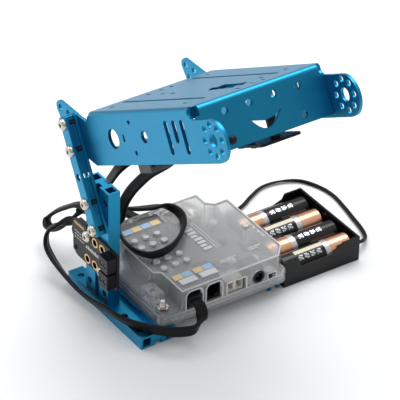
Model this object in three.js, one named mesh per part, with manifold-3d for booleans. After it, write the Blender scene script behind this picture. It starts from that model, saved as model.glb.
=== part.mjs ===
// Kit-built desk lamp arm: aluminium beams, a folded head shell, a controller in a clear
// case, a twin infrared sensor board, a light board and a four-cell battery tray.
// Millimetres, +Z up. X runs along the base beam, the way the head reaches. Y runs across.
import * as THREE from 'three';
import { mergeVertices } from 'three/addons/utils/BufferGeometryUtils.js';
import Module from 'manifold-3d';

const wasm = await Module();
wasm.setup();

// ---------------------------------------------------------------- driving dimensions
const BEAM = 8;                 // thickness of every beam
const WIDE = 24;                // width of the wide beams
const PITCH = 16;               // spacing of the holes along a beam
const BASE_LENGTH = 80;
const POST_LENGTH = 80;
const SLIM_LENGTH = 72;         // strut and support beam
const POCKET = 5.2;             // hollow inside each half of a wide beam
const SLOT_WIDTH = 4.2;
const SLOT_DEPTH = 2.3;
const HOLE_R = 2.2;             // clearance hole
const SHANK_R = 1.95;           // screw shank
const HEAD_R = 3.7;             // button head of a screw
const HEAD_H = 2.3;

const POST_X = 20;              // left side of the post on the base beam
const TILT = THREE.MathUtils.degToRad(30);
const PIVOT_Z = 64;             // lower hole of the strut, at the same height as a post hole
const PIVOT_X = 40;

const SHELL_W = 89;             // head shell, outside width
const SHEET = 2;
const TOP_N = 4.4;              // outer face of the top plate above the upper strut screw
const BOTTOM_N = -27.3;
const REAR_S = 17;
const FRONT_S = 137;
const BEND_R = 3;
const BEND_STEPS = 6;
const EAR_S = 152.8;             // middle of each ear's ring of holes
const EAR_N = -14.5;
const EAR_END = 166.4;
const EAR_TOP = -2.8;
const EAR_R = 12.2;             // rounding of the ear's end
const RING_R = 9;
const RING_HOLE_R = 2.15;

const CASE_X0 = -1;
const CASE_X1 = 78;
const CASE_Y0 = 15.5;
const CASE_Y1 = 105.3;
const CASE_Z0 = BEAM;
const CASE_SPLIT = 14;          // where the two halves of the case meet
const CASE_TOP = 29.5;
const CASE_WALL = 1.6;
const BOARD_Z = CASE_Z0 + 4.2;  // underside of the controller board
const BOARD_T = 1.6;
const JACK = 13;                // width and height of the six-way cable jacks
const JACK_Z = BOARD_Z + BOARD_T + 0.05;
const CABLE_R = 2;
const WIRE_R = 1.3;

const CELL_R = 7.2;
const CELL_L = 50.5;
const CELL_PITCH = 15;
const CELL_X0 = 20.5;
const CELL_Y0 = 107.9;
const CELL_Z = 8.6;
const TRAY_X0 = 11.9;
const TRAY_X1 = 74.1;
const TRAY_Y0 = 105.6;
const TRAY_Y1 = 161.2;
const TRAY_TOP = 17;

// ---------------------------------------------------------------- colours
const METAL = { blue: 0x1c86b8, steel: 0xb9b6ae, gold: 0xc9a45a };
function paint(color, metalness, roughness, opacity = 1) {
  return new THREE.MeshStandardMaterial({
    color, metalness, roughness, opacity, transparent: opacity < 1,
  });
}
const BLUE = paint(METAL.blue, 0.8, 0.35);
const STEEL = paint(METAL.steel, 0.9, 0.3);
const BLACK = paint(0x17181a, 0.0, 0.5);
const BOARD = paint(0x1b1c1e, 0.0, 0.45);
const CLEAR = paint(0xd9dcdb, 0.0, 0.15, 0.35);
const WHITE = paint(0xe6e3da, 0.0, 0.5);
const CABLE = paint(0x1d1e20, 0.0, 0.6);
const CELL = paint(0x2a2a2c, 0.6, 0.35);
const GREY = paint(0x55585b, 0.0, 0.5);

// ---------------------------------------------------------------- solids
function solid(geometry) {
  geometry.deleteAttribute('normal');
  geometry.deleteAttribute('uv');
  const g = mergeVertices(geometry.index ? geometry.toNonIndexed() : geometry, 1e-5);
  const mesh = new wasm.Mesh({
    numProp: 3,
    vertProperties: new Float32Array(g.attributes.position.array),
    triVerts: new Uint32Array(g.index.array),
  });
  return new wasm.Manifold(mesh);
}
function geometryOf(manifold) {
  const m = manifold.getMesh();
  const g = new THREE.BufferGeometry();
  g.setAttribute('position', new THREE.BufferAttribute(new Float32Array(m.vertProperties), 3));
  g.setIndex(new THREE.BufferAttribute(new Uint32Array(m.triVerts), 1));
  g.computeVertexNormals();
  return g;
}
function box(x0, x1, y0, y1, z0, z1) {
  const g = new THREE.BoxGeometry(x1 - x0, y1 - y0, z1 - z0);
  g.translate((x0 + x1) / 2, (y0 + y1) / 2, (z0 + z1) / 2);
  return solid(g);
}
// cylinder along axis 'x', 'y' or 'z' from a to b, centred on the other two coordinates
function rod(axis, a, b, p, q, r, sides = 12, r2 = r) {
  const g = new THREE.CylinderGeometry(r2, r, b - a, sides);
  g.translate(0, (a + b) / 2, 0);
  g.rotateY(Math.PI / sides);
  if (axis === 'x') {
    g.rotateZ(-Math.PI / 2);
    g.translate(0, p, q);
  } else if (axis === 'y') {
    g.translate(p, 0, q);
  } else {
    g.rotateX(Math.PI / 2);
    g.translate(p, q, 0);
  }
  return solid(g);
}
// polygon (list of [a, b]) with holes, extruded along 'x' (a=y,b=z), 'y' (a=x,b=z) or 'z' (a=x,b=y)
function plate(axis, from, to, outline, holes = []) {
  const corners = outline.map(([a, b]) => new THREE.Vector2(a, b));
  if (THREE.ShapeUtils.isClockWise(corners)) corners.reverse();
  const shape = new THREE.Shape(corners);
  for (const h of holes) shape.holes.push(new THREE.Path(h.map(([a, b]) => new THREE.Vector2(a, b))));
  const g = new THREE.ExtrudeGeometry(shape, { depth: to - from, bevelEnabled: false });
  g.translate(0, 0, from);
  if (axis === 'y') {
    g.rotateX(Math.PI / 2);
    g.scale(1, -1, 1);
    flip(g);
  }
  if (axis === 'x') {
    g.rotateY(Math.PI / 2);
    g.rotateX(Math.PI / 2);
  }
  return solid(g);
}
function flip(g) {
  const p = g.attributes.position.array;
  for (let i = 0; i < p.length; i += 9) {
    for (let k = 0; k < 3; k += 1) {
      const keep = p[i + 3 + k];
      p[i + 3 + k] = p[i + 6 + k];
      p[i + 6 + k] = keep;
    }
  }
}
function circle(a, b, r, sides = 12) {
  const points = [];
  for (let i = 0; i < sides; i += 1) {
    const t = (2 * Math.PI * (i + 0.5)) / sides;
    points.push([a + r * Math.cos(t), b + r * Math.sin(t)]);
  }
  return points;
}
function rect(a0, a1, b0, b1) {
  return [[a0, b0], [a1, b0], [a1, b1], [a0, b1]];
}
// rectangle with corner radius r
function rounded(a0, a1, b0, b1, r, steps = 3) {
  const points = [];
  const corners = [[a1 - r, b0 + r, -90], [a1 - r, b1 - r, 0], [a0 + r, b1 - r, 90], [a0 + r, b0 + r, 180]];
  for (const [ca, cb, start] of corners) {
    for (let i = 0; i <= steps; i += 1) {
      const t = THREE.MathUtils.degToRad(start + (90 * i) / steps);
      points.push([ca + r * Math.cos(t), cb + r * Math.sin(t)]);
    }
  }
  return points;
}
// outline whose listed corners [a, b, radius] are rounded
function filleted(corners, steps = 4) {
  const points = [];
  const n = corners.length;
  for (let i = 0; i < n; i += 1) {
    const [a, b, r] = corners[i];
    const p = new THREE.Vector2(a, b);
    if (!r) {
      points.push([a, b]);
      continue;
    }
    const before = new THREE.Vector2(...corners[(i + n - 1) % n].slice(0, 2)).sub(p).normalize();
    const after = new THREE.Vector2(...corners[(i + 1) % n].slice(0, 2)).sub(p).normalize();
    const half = Math.acos(THREE.MathUtils.clamp(before.dot(after), -1, 1)) / 2;
    const reach = r / Math.tan(half);
    const centre = p.clone().add(before.clone().add(after).normalize().multiplyScalar(r / Math.sin(half)));
    const start = p.clone().add(before.multiplyScalar(reach)).sub(centre);
    const end = p.clone().add(after.multiplyScalar(reach)).sub(centre);
    const t0 = Math.atan2(start.y, start.x);
    let sweep = Math.atan2(end.y, end.x) - t0;
    if (sweep > Math.PI) sweep -= 2 * Math.PI;
    if (sweep < -Math.PI) sweep += 2 * Math.PI;
    for (let k = 0; k <= steps; k += 1) {
      const t = t0 + (sweep * k) / steps;
      points.push([centre.x + r * Math.cos(t), centre.y + r * Math.sin(t)]);
    }
  }
  return points;
}
function cut(body, ...tools) {
  return tools.reduce((b, t) => b.subtract(t), body);
}
function join(first, ...rest) {
  return rest.reduce((b, t) => b.add(t), first);
}

const root = new THREE.Group();
root.name = 'assembly';
const fixed = new THREE.Group();
root.add(fixed);
// the strut and the head lean together: local x forward, y across, z up, origin at the top screw
const tilt = new THREE.Matrix4().makeRotationY(-TILT);
tilt.setPosition(
  PIVOT_X - 4 * PITCH * Math.sin(TILT),
  0,
  PIVOT_Z + 4 * PITCH * Math.cos(TILT),
);
function add(name, body, material, tilted = false) {
  const g = body.isBufferGeometry ? body : geometryOf(body);
  if (tilted) g.applyMatrix4(tilt);
  const mesh = new THREE.Mesh(g, material);
  mesh.name = name;
  fixed.add(mesh);
  return mesh;
}

// ---------------------------------------------------------------- beams
// section of a wide beam, centred: two square hollows and a threaded slot on each face
function wideSection() {
  const h = BEAM / 2;
  const w = WIDE / 2;
  const s = SLOT_WIDTH / 2;
  const outline = [
    [-w, -h], [-s, -h], [-s, -h + SLOT_DEPTH], [s, -h + SLOT_DEPTH], [s, -h], [w, -h],
    [w, h], [s, h], [s, h - SLOT_DEPTH], [-s, h - SLOT_DEPTH], [-s, h], [-w, h],
  ];
  const p = POCKET / 2;
  const holes = [-BEAM, BEAM].map((c) => rect(c - p, c + p, -p, p).reverse());
  return { outline, holes };
}
function slimSection() {
  const h = BEAM / 2;
  const s = SLOT_WIDTH / 2;
  return [
    [-h, -h], [-s, -h], [-s, -h + SLOT_DEPTH], [s, -h + SLOT_DEPTH], [s, -h], [h, -h],
    [h, h], [s, h], [s, h - SLOT_DEPTH], [-s, h - SLOT_DEPTH], [-s, h], [-h, h],
  ];
}
const wide = wideSection();

// base beam lies flat; two wide access holes underneath let the post screws in
let base = plate('x', 0, BASE_LENGTH, wide.outline.map(([a, b]) => [a + 12, b + 4]),
  wide.holes.map((h) => h.map(([a, b]) => [a + 12, b + 4])));
for (let i = 0; i < 5; i += 1) {
  for (const y of [4, 20]) base = cut(base, rod('z', -1, BEAM + 1, 8 + PITCH * i, y, HOLE_R));
}
for (const [x, y] of [[24, 4], [40, 4], [72, 20]]) {
  base = cut(base, rod('z', -1, 2.2, x, y, 2.75, 12));
}
add('base_beam', base, BLUE);

// support beam under the far side of the case
let support = plate('x', 0, SLIM_LENGTH, slimSection().map(([a, b]) => [a + 100, b + 4]));
for (let i = 0; i < 5; i += 1) support = cut(support, rod('z', -1, BEAM + 1, 8 + PITCH * i, 100, HOLE_R));
support = cut(support, rod('z', -1, SLOT_DEPTH, 8, 100, 2.75, 12));
add('support_beam', support, BLUE);

// post stands on the base beam
let post = plate('z', BEAM, BEAM + POST_LENGTH, wide.outline.map(([a, b]) => [a + POST_X + 12, b + 4]),
  wide.holes.map((h) => h.map(([a, b]) => [a + POST_X + 12, b + 4])));
for (let i = 0; i < 5; i += 1) {
  for (const x of [24, 40]) post = cut(post, rod('y', -1, BEAM + 1, x, BEAM + 8 + PITCH * i, HOLE_R));
}
add('post_beam', post, BLUE);

// strut: slim beam leaning back, slots on its front and rear
let strut = plate('z', -4 * PITCH - 4, -4 * PITCH - 4 + SLIM_LENGTH,
  slimSection().map(([a, b]) => [b, a - 4]).reverse());
for (let i = 0; i < 5; i += 1) strut = cut(strut, rod('y', -9, 1, 0, -PITCH * i, HOLE_R));
add('strut_beam', strut, BLUE, true);

// ---------------------------------------------------------------- screws and nuts
// button-head screw along +Y, under-head face at y = seat, hexagon socket in the head
function screwY(x, z, seat, length) {
  const head = rod('y', seat - HEAD_H, seat, x, z, HEAD_R - 0.9, 16, HEAD_R);
  const shank = rod('y', seat - 0.2, seat + length, x, z, SHANK_R);
  return cut(join(head, shank), rod('y', seat - HEAD_H - 1, seat - 0.9, x, z, 1.5, 6));
}
// the same screw pointing up, head at the bottom
function screwZ(x, y, seat, length, r = 2.4) {
  const head = rod('z', seat - HEAD_H, seat, x, y, r, 12);
  const shank = rod('z', seat - 0.2, seat + length, x, y, SHANK_R);
  return cut(join(head, shank), rod('z', seat - HEAD_H - 1, seat - 0.9, x, y, 1.2, 6));
}
function nutY(x, z, from) {
  return rod('y', from, from + 3, x, z, 4, 6).subtract(rod('y', from - 1, from + 4, x, z, SHANK_R + 0.25));
}
function nutZ(x, y, from) {
  return rod('z', from, from + 3, x, y, 4, 6).subtract(rod('z', from - 1, from + 4, x, y, SHANK_R + 0.25));
}
add('strut_screw_1', screwY(0, -4 * PITCH, -BEAM, 14), STEEL, true);
add('strut_screw_2', screwY(0, -3 * PITCH, -BEAM, 10), STEEL, true);
add('strut_screw_3', screwY(0, -PITCH, -BEAM, 14), STEEL, true);
add('strut_screw_4', screwY(0, 0, -BEAM, 14), STEEL, true);
add('head_nut_1', nutY(0, -PITCH, SHEET), STEEL, true);
add('head_nut_2', nutY(0, 0, SHEET), STEEL, true);

// ---------------------------------------------------------------- head shell
// one folded sheet: two side cheeks with fins and ears, a slotted top and a pierced front
const finTip = [];
for (let i = 0; i <= 5; i += 1) {
  const t = THREE.MathUtils.degToRad(188 - (126 * i) / 5);
  finTip.push([-14.2 + 4.3 * Math.cos(t), 8.3 + 4.3 * Math.sin(t), 0]);
}
const cheek = filleted([
  ...finTip,
  [12.4, -1.2, 0],
  [REAR_S - 0.6, 2.4, 1.0],
  [REAR_S + 3, 2.6, 0],
  [128.5, 2.6, 0],
  [134.5, -2.6, 0],
  [144, EAR_TOP, 0],
  [EAR_END, EAR_TOP, EAR_R],
  [EAR_END, BOTTOM_N, EAR_R],
  [11.7, BOTTOM_N, 1.0],
  [2.7, -22.4, 1.5],
  [-6.0, -21.0, 3.0],
  [-16.6, -1.0, 3.0],
], 6);
const cheekHoles = [circle(EAR_S, EAR_N, 4.1, 24)];
for (let i = 0; i < 8; i += 1) {
  const t = (i * Math.PI) / 4;
  cheekHoles.push(circle(EAR_S + RING_R * Math.cos(t), EAR_N + RING_R * Math.sin(t), RING_HOLE_R, 12));
}
for (const [a, b] of [[-14, 8.3], [-6.1, 4.6], [-13.6, 0.6]]) cheekHoles.push(circle(a, b, 2.1, 14));
cheekHoles.push(circle(0, 0, HOLE_R, 12));
cheekHoles.push(circle(0, -PITCH, HOLE_R, 12));
cheekHoles.push(circle(40.7, -11.8, 6, 28));
cheekHoles.push(circle(63.4, -2.2, 1.5, 8));
cheekHoles.push(circle(63.3, -20.3, 1.5, 8));
cheekHoles.push(rounded(52, 54, -14, -9, 0.9, 1));
cheekHoles.push(circle(77.2, -11.2, 3.6, 20));
// three upright slots, the middle one short
cheekHoles.push(rounded(103, 107, -22, -2, 1.9, 2));
cheekHoles.push(rounded(112, 116, -15.5, -2, 1.9, 2));
cheekHoles.push(rounded(121, 125, -22, -2, 1.9, 2));
function cheekPlate(y0) {
  return plate('y', y0, y0 + SHEET, cheek, cheekHoles);
}
// top: folded section (across, up), rounded outside and inside
function foldedTop() {
  const r = BEND_R;
  const outer = [];
  const inner = [];
  for (let i = 0; i <= BEND_STEPS; i += 1) {
    const t = (Math.PI / 2) * (i / BEND_STEPS);
    outer.push([r - r * Math.cos(t), TOP_N - r + r * Math.sin(t)]);
    inner.push([r - (r - SHEET) * Math.cos(t), TOP_N - r + (r - SHEET) * Math.sin(t)]);
  }
  const mirror = (p) => [SHELL_W - p[0], p[1]];
  const low = -1.2;
  const points = [
    [0, low], ...outer, ...[...outer].reverse().map(mirror), [SHELL_W, low],
    [SHELL_W - SHEET, low], ...inner.map(mirror), ...[...inner].reverse(), [SHEET, low],
  ];
  return plate('x', REAR_S, FRONT_S - 5, points.reverse());
}
// front: folded section (forward, up)
function foldedFront() {
  const r = BEND_R;
  const outer = [];
  const inner = [];
  for (let i = 0; i <= BEND_STEPS; i += 1) {
    const t = (Math.PI / 2) * (i / BEND_STEPS);
    outer.push([FRONT_S - r + r * Math.cos(t), TOP_N - r + r * Math.sin(t)]);
    inner.push([FRONT_S - r + (r - SHEET) * Math.cos(t), TOP_N - r + (r - SHEET) * Math.sin(t)]);
  }
  const points = [
    [FRONT_S - SHEET, -25], [FRONT_S, -25], ...outer, [FRONT_S - 9, TOP_N],
    [FRONT_S - 9, TOP_N - SHEET], ...[...inner].reverse(),
  ];
  return plate('y', SHEET + 0.4, SHELL_W - SHEET - 0.4, points);
}
let shell = join(foldedTop(), cheekPlate(0), cheekPlate(SHELL_W - SHEET), foldedFront());
// round corner reliefs where the three folds meet
for (const [y0, y1] of [[-1, 5], [SHELL_W - 5, SHELL_W + 1]]) {
  shell = cut(shell, rod('y', y0, y1, FRONT_S - 2.2, 1.0, 3.2, 12));
}
// inner tabs that close the view through the reliefs
for (const y of [5.1, SHELL_W - 6.1]) shell = join(shell, box(121.5, FRONT_S - 1.8, y, y + 1, -3, 3));
// openings of the front: row of four, pair below, smile-shaped slot
const MID_Y = SHELL_W / 2;
for (const dy of [-24, -8, 8, 24]) shell = cut(shell, rod('x', FRONT_S - 4, FRONT_S + 1, MID_Y + dy, -3.4, 2.2, 12));
for (const dy of [-24, 24]) shell = cut(shell, rod('x', FRONT_S - 4, FRONT_S + 1, MID_Y + dy, -20, 2.2, 12));
const smile = [];
for (let i = 0; i <= 10; i += 1) {
  const t = -1 + (2 * i) / 10;
  smile.push([MID_Y + 10.4 * t, -12 - 8.2 * (1 - t * t)]);
}
for (let i = 9; i >= 1; i -= 1) {
  const t = -1 + (2 * i) / 10;
  smile.push([MID_Y + 10.4 * t, -12 - 3.4 * (1 - t * t)]);
}
shell = cut(shell, plate('x', FRONT_S - 4, FRONT_S + 1, smile));
// openings of the top: two long slots, an arrow-like hole, short slots
function topCut(outline) {
  return plate('z', TOP_N - 3, TOP_N + 1, outline);
}
for (const y of [MID_Y - 24, MID_Y + 24]) shell = cut(shell, topCut(rounded(24, 120, y - 1.2, y + 1.2, 1.1, 2)));
const arrow = [
  [95.1, 36.9], [89.4, 42.8], [94.4, 43.8], [93.3, 48.9], [104.8, 49.6],
  [115.0, 51.4], [119.4, 45.7], [113.8, 44.2], [117.6, 39.5], [104.9, 38.8],
];
shell = cut(shell, topCut(arrow));
const short = [
  [30, 10], [28, 76], [28, 35.5], [28, MID_Y], [28, 51.5], [46, 35], [58, 35],
  [113, 11], [115, 77], [116, 60], [126, 55], [123, 49], [126, 38],
];
for (const [s, y] of short) shell = cut(shell, topCut(rounded(s - 2.6, s + 2.6, y - 0.8, y + 0.8, 0.7, 1)));
add('head_shell', shell, BLUE, true);

// ---------------------------------------------------------------- screws under the base
add('post_screw_1', screwZ(24, 4, 4 + POCKET / 2, 12), STEEL);
add('post_screw_2', screwZ(40, 4, 4 + POCKET / 2, 12), STEEL);
add('case_screw_1', screwZ(72, 20, 4 + POCKET / 2, 16), STEEL);
add('case_screw_2', screwZ(8, 100, 2.3, 20), STEEL);
add('case_nut_1', nutZ(72, 20, 16), STEEL);
add('case_nut_2', nutZ(8, 100, 16), STEEL);

// ---------------------------------------------------------------- controller case
// moves every edge of a polygon inwards by d
function inset(points, d) {
  let area = 0;
  const n = points.length;
  for (let i = 0; i < n; i += 1) {
    const [x0, y0] = points[i];
    const [x1, y1] = points[(i + 1) % n];
    area += x0 * y1 - x1 * y0;
  }
  const side = Math.sign(area);
  return points.map((p, i) => {
    const a = points[(i + n - 1) % n];
    const b = points[(i + 1) % n];
    const e0 = new THREE.Vector2(p[0] - a[0], p[1] - a[1]).normalize();
    const e1 = new THREE.Vector2(b[0] - p[0], b[1] - p[1]).normalize();
    const n0 = new THREE.Vector2(-e0.y * side, e0.x * side);
    const n1 = new THREE.Vector2(-e1.y * side, e1.x * side);
    const m = n0.clone().add(n1);
    m.multiplyScalar((2 * d) / m.lengthSq());
    return [p[0] + m.x, p[1] + m.y];
  });
}
const flange = rounded(CASE_X0, CASE_X1, CASE_Y0, CASE_Y1, 4, 2);
const flangeInner = inset(flange, CASE_WALL);
let caseBottom = plate('z', CASE_Z0, CASE_SPLIT, flange);
caseBottom = cut(caseBottom, plate('z', CASE_Z0 + CASE_WALL, CASE_SPLIT + 1, flangeInner));
for (const [x, y] of [[8, 40], [8, 84], [70, 40], [70, 84]]) {
  caseBottom = join(caseBottom, rod('z', CASE_Z0 + 0.5, BOARD_Z - 0.05, x, y, 2.4, 10));
}
for (const [x, y] of [[72, 20], [8, 100]]) {
  caseBottom = join(caseBottom, rod('z', CASE_Z0 + 0.5, CASE_SPLIT, x, y, 3.6, 12));
  caseBottom = cut(caseBottom, rod('z', CASE_Z0 - 1, CASE_SPLIT + 1, x, y, HOLE_R));
}
add('case_bottom', caseBottom, CLEAR);

const raised = [
  [22, 25.3], [53, 25.3], [56, 29.5], [CASE_X1, 29.5], [CASE_X1, 98], [70, CASE_Y1],
  [13, CASE_Y1], [13, 96], [9, 92], [CASE_X0, 92], [CASE_X0, 33],
];
const roof = CASE_TOP - CASE_WALL;
const slope = [[CASE_Y0, CASE_SPLIT], [27, CASE_SPLIT], [27, CASE_TOP], [25.3, CASE_TOP], [CASE_Y0, 16.4]];
const slopeInner = [[17.4, 12], [28, 12], [28, roof], [25.9, roof], [17.4, 16.9]];
const slopePlan = [[CASE_X0, 34], [CASE_X0, 24], [11, CASE_Y0], [53, CASE_Y0], [53, 34]];
let cover = plate('z', CASE_SPLIT, CASE_SPLIT + 2, flange);
cover = join(cover, plate('z', CASE_SPLIT, CASE_TOP, raised));
const wedge = plate('x', CASE_X0 - 1, 53, slope).intersect(plate('z', 13, 31, slopePlan))
  .intersect(plate('z', 13, 31, [[-1, 33], [-1, 15], [53, 15], [53, 34], [0, 34]]));
cover = join(cover, wedge);
cover = cut(cover, plate('z', CASE_SPLIT - 1, roof, inset(raised, CASE_WALL)));
const wedgeInner = plate('x', CASE_X0 + CASE_WALL, 53 - CASE_WALL, slopeInner)
  .intersect(plate('z', 11, 31, inset(slopePlan, CASE_WALL)));
cover = cut(cover, wedgeInner);
// spacer block in the open corner
cover = join(cover, box(54.2, 67.2, 16.2, 24.4, CASE_SPLIT + 1, 24));
cover = cut(cover, rod('z', 18, 25, 61, 19.8, 1.8, 14));
for (const [x, y] of [[72, 20], [8, 100]]) cover = cut(cover, rod('z', 13, 17, x, y, HOLE_R));
// windows: two jacks, motor plugs, power inlet and switch in front; two jacks, usb, battery behind
const FRONT_JACKS = [38, 52];
const REAR_JACKS = [41, 55];
for (const y of FRONT_JACKS) cover = cut(cover, box(76, 79, y - 5.4, y + 5.4, 14.6, 27));
for (const y of REAR_JACKS) cover = cut(cover, box(-2, 1, y - 5.4, y + 5.4, 14.6, 27));
cover = cut(cover, box(76, 79, 61.5, 74.5, 14.6, 22.6));
cover = cut(cover, rod('x', 76, 79, 84, 19, 4.4, 14));
cover = cut(cover, box(76, 79, 90.8, 96, 15.2, 18.4));
cover = cut(cover, box(-2, 1, 66, 78.4, 14.2, 25.2));
cover = cut(cover, box(-2, 1, 82, 90, 14.2, 20.6));
// rows of small raised knobs on the cover, and the hole for the button
for (const x of [22, 30, 46, 54]) {
  for (const y of [32.5, 40.5, 48.5]) cover = join(cover, rod('z', roof + 0.5, CASE_TOP + 1.3, x, y, 2.3, 14, 1.9));
}
const BUTTON = [43, 98.2];
cover = cut(cover, rod('z', roof - 1, CASE_TOP + 1, BUTTON[0], BUTTON[1], 2.4, 12));
add('case_top', cover, CLEAR);

// controller board and what is soldered to it
let board = box(1.2, 75.4, 31.6, 102.2, BOARD_Z, BOARD_Z + BOARD_T);
board = cut(board, box(0, 14, 91, 104, BOARD_Z - 1, BOARD_Z + 3));
board = join(board, box(34, 44, 60, 70, BOARD_Z + 1, BOARD_Z + BOARD_T + 1.2));
board = join(board, box(BUTTON[0] - 3, BUTTON[0] + 3, BUTTON[1] - 3, BUTTON[1] + 3, BOARD_Z + 1, BOARD_Z + 5));
board = cut(board, rod('z', BOARD_Z + 3.4, BOARD_Z + 6, BUTTON[0], BUTTON[1], 2.2, 12));
add('controller_board', board, BOARD);
// jack: box with a stepped mouth facing dir along x
function jackX(x0, x1, yc, z0, dir) {
  const mouth = dir > 0 ? [x1 - 11, x1 + 1] : [x0 - 1, x0 + 11];
  let b = box(x0, x1, yc - JACK / 2, yc + JACK / 2, z0, z0 + JACK);
  b = cut(b, box(mouth[0], mouth[1], yc - 5, yc + 5, z0 + 3.2, z0 + 10.2));
  const notch = dir > 0 ? [mouth[0] + 2, mouth[1]] : [mouth[0], mouth[1] - 2];
  return cut(b, box(notch[0], notch[1], yc - 2, yc + 2, z0 + 1.6, z0 + 4));
}
// plug: body with a latch under it, its cable end at the far side
function plugX(x0, x1, yc, zc) {
  return join(box(x0, x1, yc - 4.8, yc + 4.8, zc - 3.2, zc + 3.2), box(x0 + 1, x1 - 1, yc - 1.6, yc + 1.6, zc - 4.4, zc - 3));
}
FRONT_JACKS.forEach((y, i) => add(`jack_${i + 1}`, jackX(62, 75.9, y, JACK_Z, 1), BLACK));
REAR_JACKS.forEach((y, i) => add(`jack_${i + 3}`, jackX(1.1, 15, y, JACK_Z, -1), BLACK));
const PLUG_Z = JACK_Z + 6.7;
add('plug_sensor_case', plugX(66, 80, FRONT_JACKS[0], PLUG_Z), BLACK);
add('plug_aux_case', plugX(-6, 11, REAR_JACKS[0], PLUG_Z), BLACK);
add('plug_light_case', plugX(-6, 11, REAR_JACKS[1], PLUG_Z), BLACK);
let motor = box(67, 75.9, 62, 74, JACK_Z, JACK_Z + 8);
for (const y of [64.9, 71.1]) {
  motor = cut(motor, box(69, 77, y - 2.2, y + 2.2, JACK_Z + 1.6, JACK_Z + 6.8));
}
add('motor_socket', motor, WHITE);
let inlet = join(box(64, 75.9, 79.5, 88.5, JACK_Z, JACK_Z + 10), rod('x', 74, 78.4, 84, 19, 4.1, 14));
inlet = cut(inlet, rod('x', 68, 80, 84, 19, 2.9, 14));
inlet = join(inlet, rod('x', 67, 77, 84, 19, 0.9, 8));
add('power_inlet', inlet, BLACK);
let usb = box(0.7, 14, 66.2, 78.2, JACK_Z, JACK_Z + 10.9);
usb = cut(usb, box(-1, 8, 68, 76.4, JACK_Z + 1.6, JACK_Z + 9.3));
usb = join(usb, box(1, 9, 69.6, 74.8, JACK_Z + 3.8, JACK_Z + 7));
add('usb_socket', usb, STEEL);
let cellSocket = box(1.1, 8, 82.2, 89.8, JACK_Z, JACK_Z + 6);
cellSocket = cut(cellSocket, box(0, 6, 83.4, 88.6, JACK_Z + 1.2, JACK_Z + 7));
add('battery_socket', cellSocket, WHITE);
let toggle = box(70.5, 75.9, 90.4, 96.4, JACK_Z, JACK_Z + 5);
toggle = cut(toggle, box(73, 77, 91, 95.8, JACK_Z + 1.4, JACK_Z + 3.8));
add('switch_body', toggle, STEEL);
const SWITCH_Z = JACK_Z + 2.6;
add('switch_slider', box(73.4, 79, 91.2, 93.4, SWITCH_Z - 0.9, SWITCH_Z + 0.9), BLACK);
add('push_button', rod('z', BOARD_Z + 4.0, CASE_TOP + 0.9, BUTTON[0], BUTTON[1], 1.9, 16), WHITE);

// ---------------------------------------------------------------- sensor board on the post
const SENSOR_Z0 = 28;
const SENSOR_Z1 = 53;
const sensorOutline = filleted([
  [8, SENSOR_Z0, 6], [56, SENSOR_Z0, 1.2], [56, SENSOR_Z1, 1.2], [8, SENSOR_Z1, 3],
], 3);
const sensorHoles = [];
for (const x of [24, 32, 40]) {
  for (const z of [32, 48]) sensorHoles.push(circle(x, z, HOLE_R, 12));
}
add('sensor_board', plate('y', -1.6, 0, sensorOutline, sensorHoles), BOARD);
add('sensor_screw_1', screwY(24, 48, -1.6, 9), STEEL);
add('sensor_screw_2', screwY(40, 32, -1.6, 9), STEEL);
[30.2, 41.6].forEach((z, i) => {
  let b = box(46.4, 55.6, -8.2, -1.65, z, z + 9.8);
  b = cut(b, rod('y', -9, -7.2, 49, z + 4.9, 1.5, 10), rod('y', -9, -7.2, 53, z + 4.9, 1.5, 10));
  add(`infrared_block_${i + 1}`, b, BLACK);
});
// jack behind the left end of the board, mouth towards -x
let sensorJack = box(5.6, 19.6, 0.05, JACK, 31.6, 31.6 + JACK);
sensorJack = cut(sensorJack, box(4, 16.6, 3.2, 10.2, 33.1, 43.1), box(4, 14, 1.6, 4, 36.1, 40.1));
add('sensor_jack', sensorJack, BLACK);
add('plug_sensor_board', join(box(-1.4, 15.6, 3.5, 9.9, 33.3, 42.9), box(0, 13, 2.2, 3.8, 36.5, 39.7)), BLACK);

// ---------------------------------------------------------------- boards inside the head
const LIGHT_N = -30.6;
let light = plate('z', LIGHT_N, LIGHT_N + 1.6, rounded(79, 130, 41.2, 68, 1.5, 1),
  [circle(120, 56.5, 1.6, 8), circle(88, 43.6, 1.4, 8), circle(88, 64, 1.6, 8), circle(124, 44.4, 1.6, 8)]);
for (const [x, y] of [[98, 48], [98, 60], [112, 48], [112, 60]]) {
  light = join(light, box(x - 2.5, x + 2.5, y - 2.5, y + 2.5, LIGHT_N - 1.6, LIGHT_N + 0.5));
}
add('light_board', light, BOARD, true);
function jackS(s0, yc, n0, dir) {
  const b = box(s0, s0 + 14, yc - JACK / 2, yc + JACK / 2, n0, n0 + JACK);
  const mouth = dir > 0 ? [s0 + 3, s0 + 15] : [s0 - 1, s0 + 11];
  return cut(b, box(mouth[0], mouth[1], yc - 5, yc + 5, n0 + 3.2, n0 + 10.2));
}
add('light_jack', jackS(80, 52, LIGHT_N + 1.7, -1), BLACK, true);
add('plug_light_board', box(74, 90, 47.2, 56.8, LIGHT_N + 5.3, LIGHT_N + 11.5), BLACK, true);
add('light_stud', rod('z', LIGHT_N + 1.7, TOP_N - SHEET - 0.1, 120, 56.5, 3, 6), STEEL, true);
const AUX_N = -20.9;
add('aux_board', plate('z', AUX_N, AUX_N + 1.6, rounded(19, 70, 5, 27, 1.5, 1), [circle(30, 20, 1.6, 8)]), BOARD, true);
add('aux_jack', jackS(49.2, 12.5, AUX_N - 0.1 - JACK, 1), GREY, true);
add('plug_aux_board', box(55.2, 71, 7.7, 17.3, AUX_N - 9.6, AUX_N - 3.4), BLACK, true);
add('aux_stud', rod('z', AUX_N + 1.7, TOP_N - SHEET - 0.1, 30, 20, 3, 6), STEEL, true);

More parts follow.
